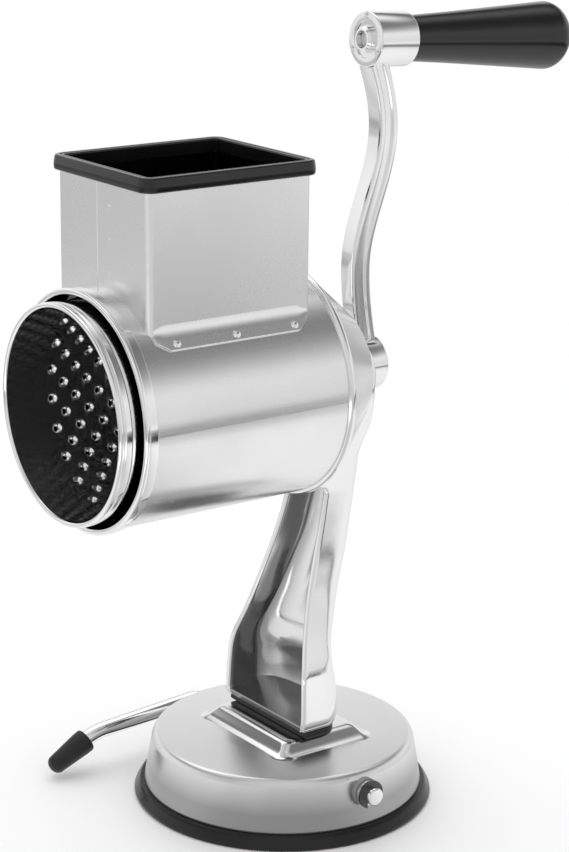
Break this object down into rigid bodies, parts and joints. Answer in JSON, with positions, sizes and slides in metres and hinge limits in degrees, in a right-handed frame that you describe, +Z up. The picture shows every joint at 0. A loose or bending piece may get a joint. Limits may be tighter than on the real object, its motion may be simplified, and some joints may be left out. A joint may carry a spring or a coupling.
{
  "type": "rotary shredder",
  "caption": "Hand cranked rotary cabbage shredder: rasp drum in a steel tube under a square hopper, open channel stand, suction base with lever, S-curved crank with a turning black grip.",
  "frame": {"origin": "middle of the suction cup's underside, on the counter", "axes": "+Z up from the counter, the drum's axis along Y with its open mouth towards -Y and the crank towards +Y, +X to the right seen from the mouth's side"},
  "size_m": [0.1318, 0.2477, 0.324],
  "materials": {
    "polished_steel": "polished",
    "satin_steel": "satin brushed sheet",
    "cast_steel": "satin",
    "plain_steel": "plain turned or pressed steel",
    "dark_steel": "blackened spring steel",
    "black_rubber": "satin",
    "gloss_black": "gloss",
    "matt_black": "matt",
    "bearing_bronze": "sintered bronze"
  },
  "bodies": {
    "base": {"suction_cup": "black_rubber", "base_dome": "cast_steel", "axle_bushes": "matt_black", "foot_plinth": "matt_black", "stand_screws": "plain_steel", "stand_washers": "plain_steel", "stand": "polished_steel", "shaft_bushes": "bearing_bronze", "housing_tube": "satin_steel", "mouth_collar": "polished_steel", "hopper": "satin_steel", "flap_rivets": "polished_steel", "hopper_trim": "gloss_black"},
    "drive": {"drum_shell": "plain_steel", "drum_ring": "polished_steel", "drum_back": "plain_steel", "drum_rivets": "plain_steel", "drive_shaft": "plain_steel", "drum_nut": "plain_steel", "drum_washer": "plain_steel", "thrust_washer": "plain_steel", "crank_arm": "polished_steel", "crank_screw": "plain_steel", "crank_washer": "plain_steel", "handle_pin": "polished_steel", "handle_washer": "plain_steel"},
    "handle": {"grip_core": "matt_black", "handle_grip": "gloss_black"},
    "lever": {"lever_rod": "polished_steel", "lever_cam": "plain_steel", "cam_pin": "plain_steel", "lever_grip": "gloss_black", "axle_clip": "dark_steel", "axle_washer": "plain_steel"},
    "stem": {"suction_plate": "plain_steel", "suction_yoke": "plain_steel"}
  },
  "joints": [
    {"name": "drum_spin", "type": "hinge", "parent": "base", "child": "drive", "pos_m": [0, 0, 0.1804], "axis": [0, 1, 0], "continuous": true},
    {"name": "handle_spin", "type": "hinge", "parent": "drive", "child": "handle", "pos_m": [0, 0.0367, 0.313], "axis": [0, 0.999, -0.0436], "continuous": true},
    {"name": "lever_swing", "type": "hinge", "parent": "base", "child": "lever", "pos_m": [0, 0, 0.0193], "axis": [-1, 0, 0], "range_deg": [0, 180]},
    {"name": "stem_lift", "type": "slide", "parent": "base", "child": "stem", "axis": [0, 0, 1], "range_m": [0, 0.0032]}
  ],
  "couplings": [
    {"joint": "stem_lift", "follows": "lever_swing", "m_per_rad": 0.001018}
  ]
}
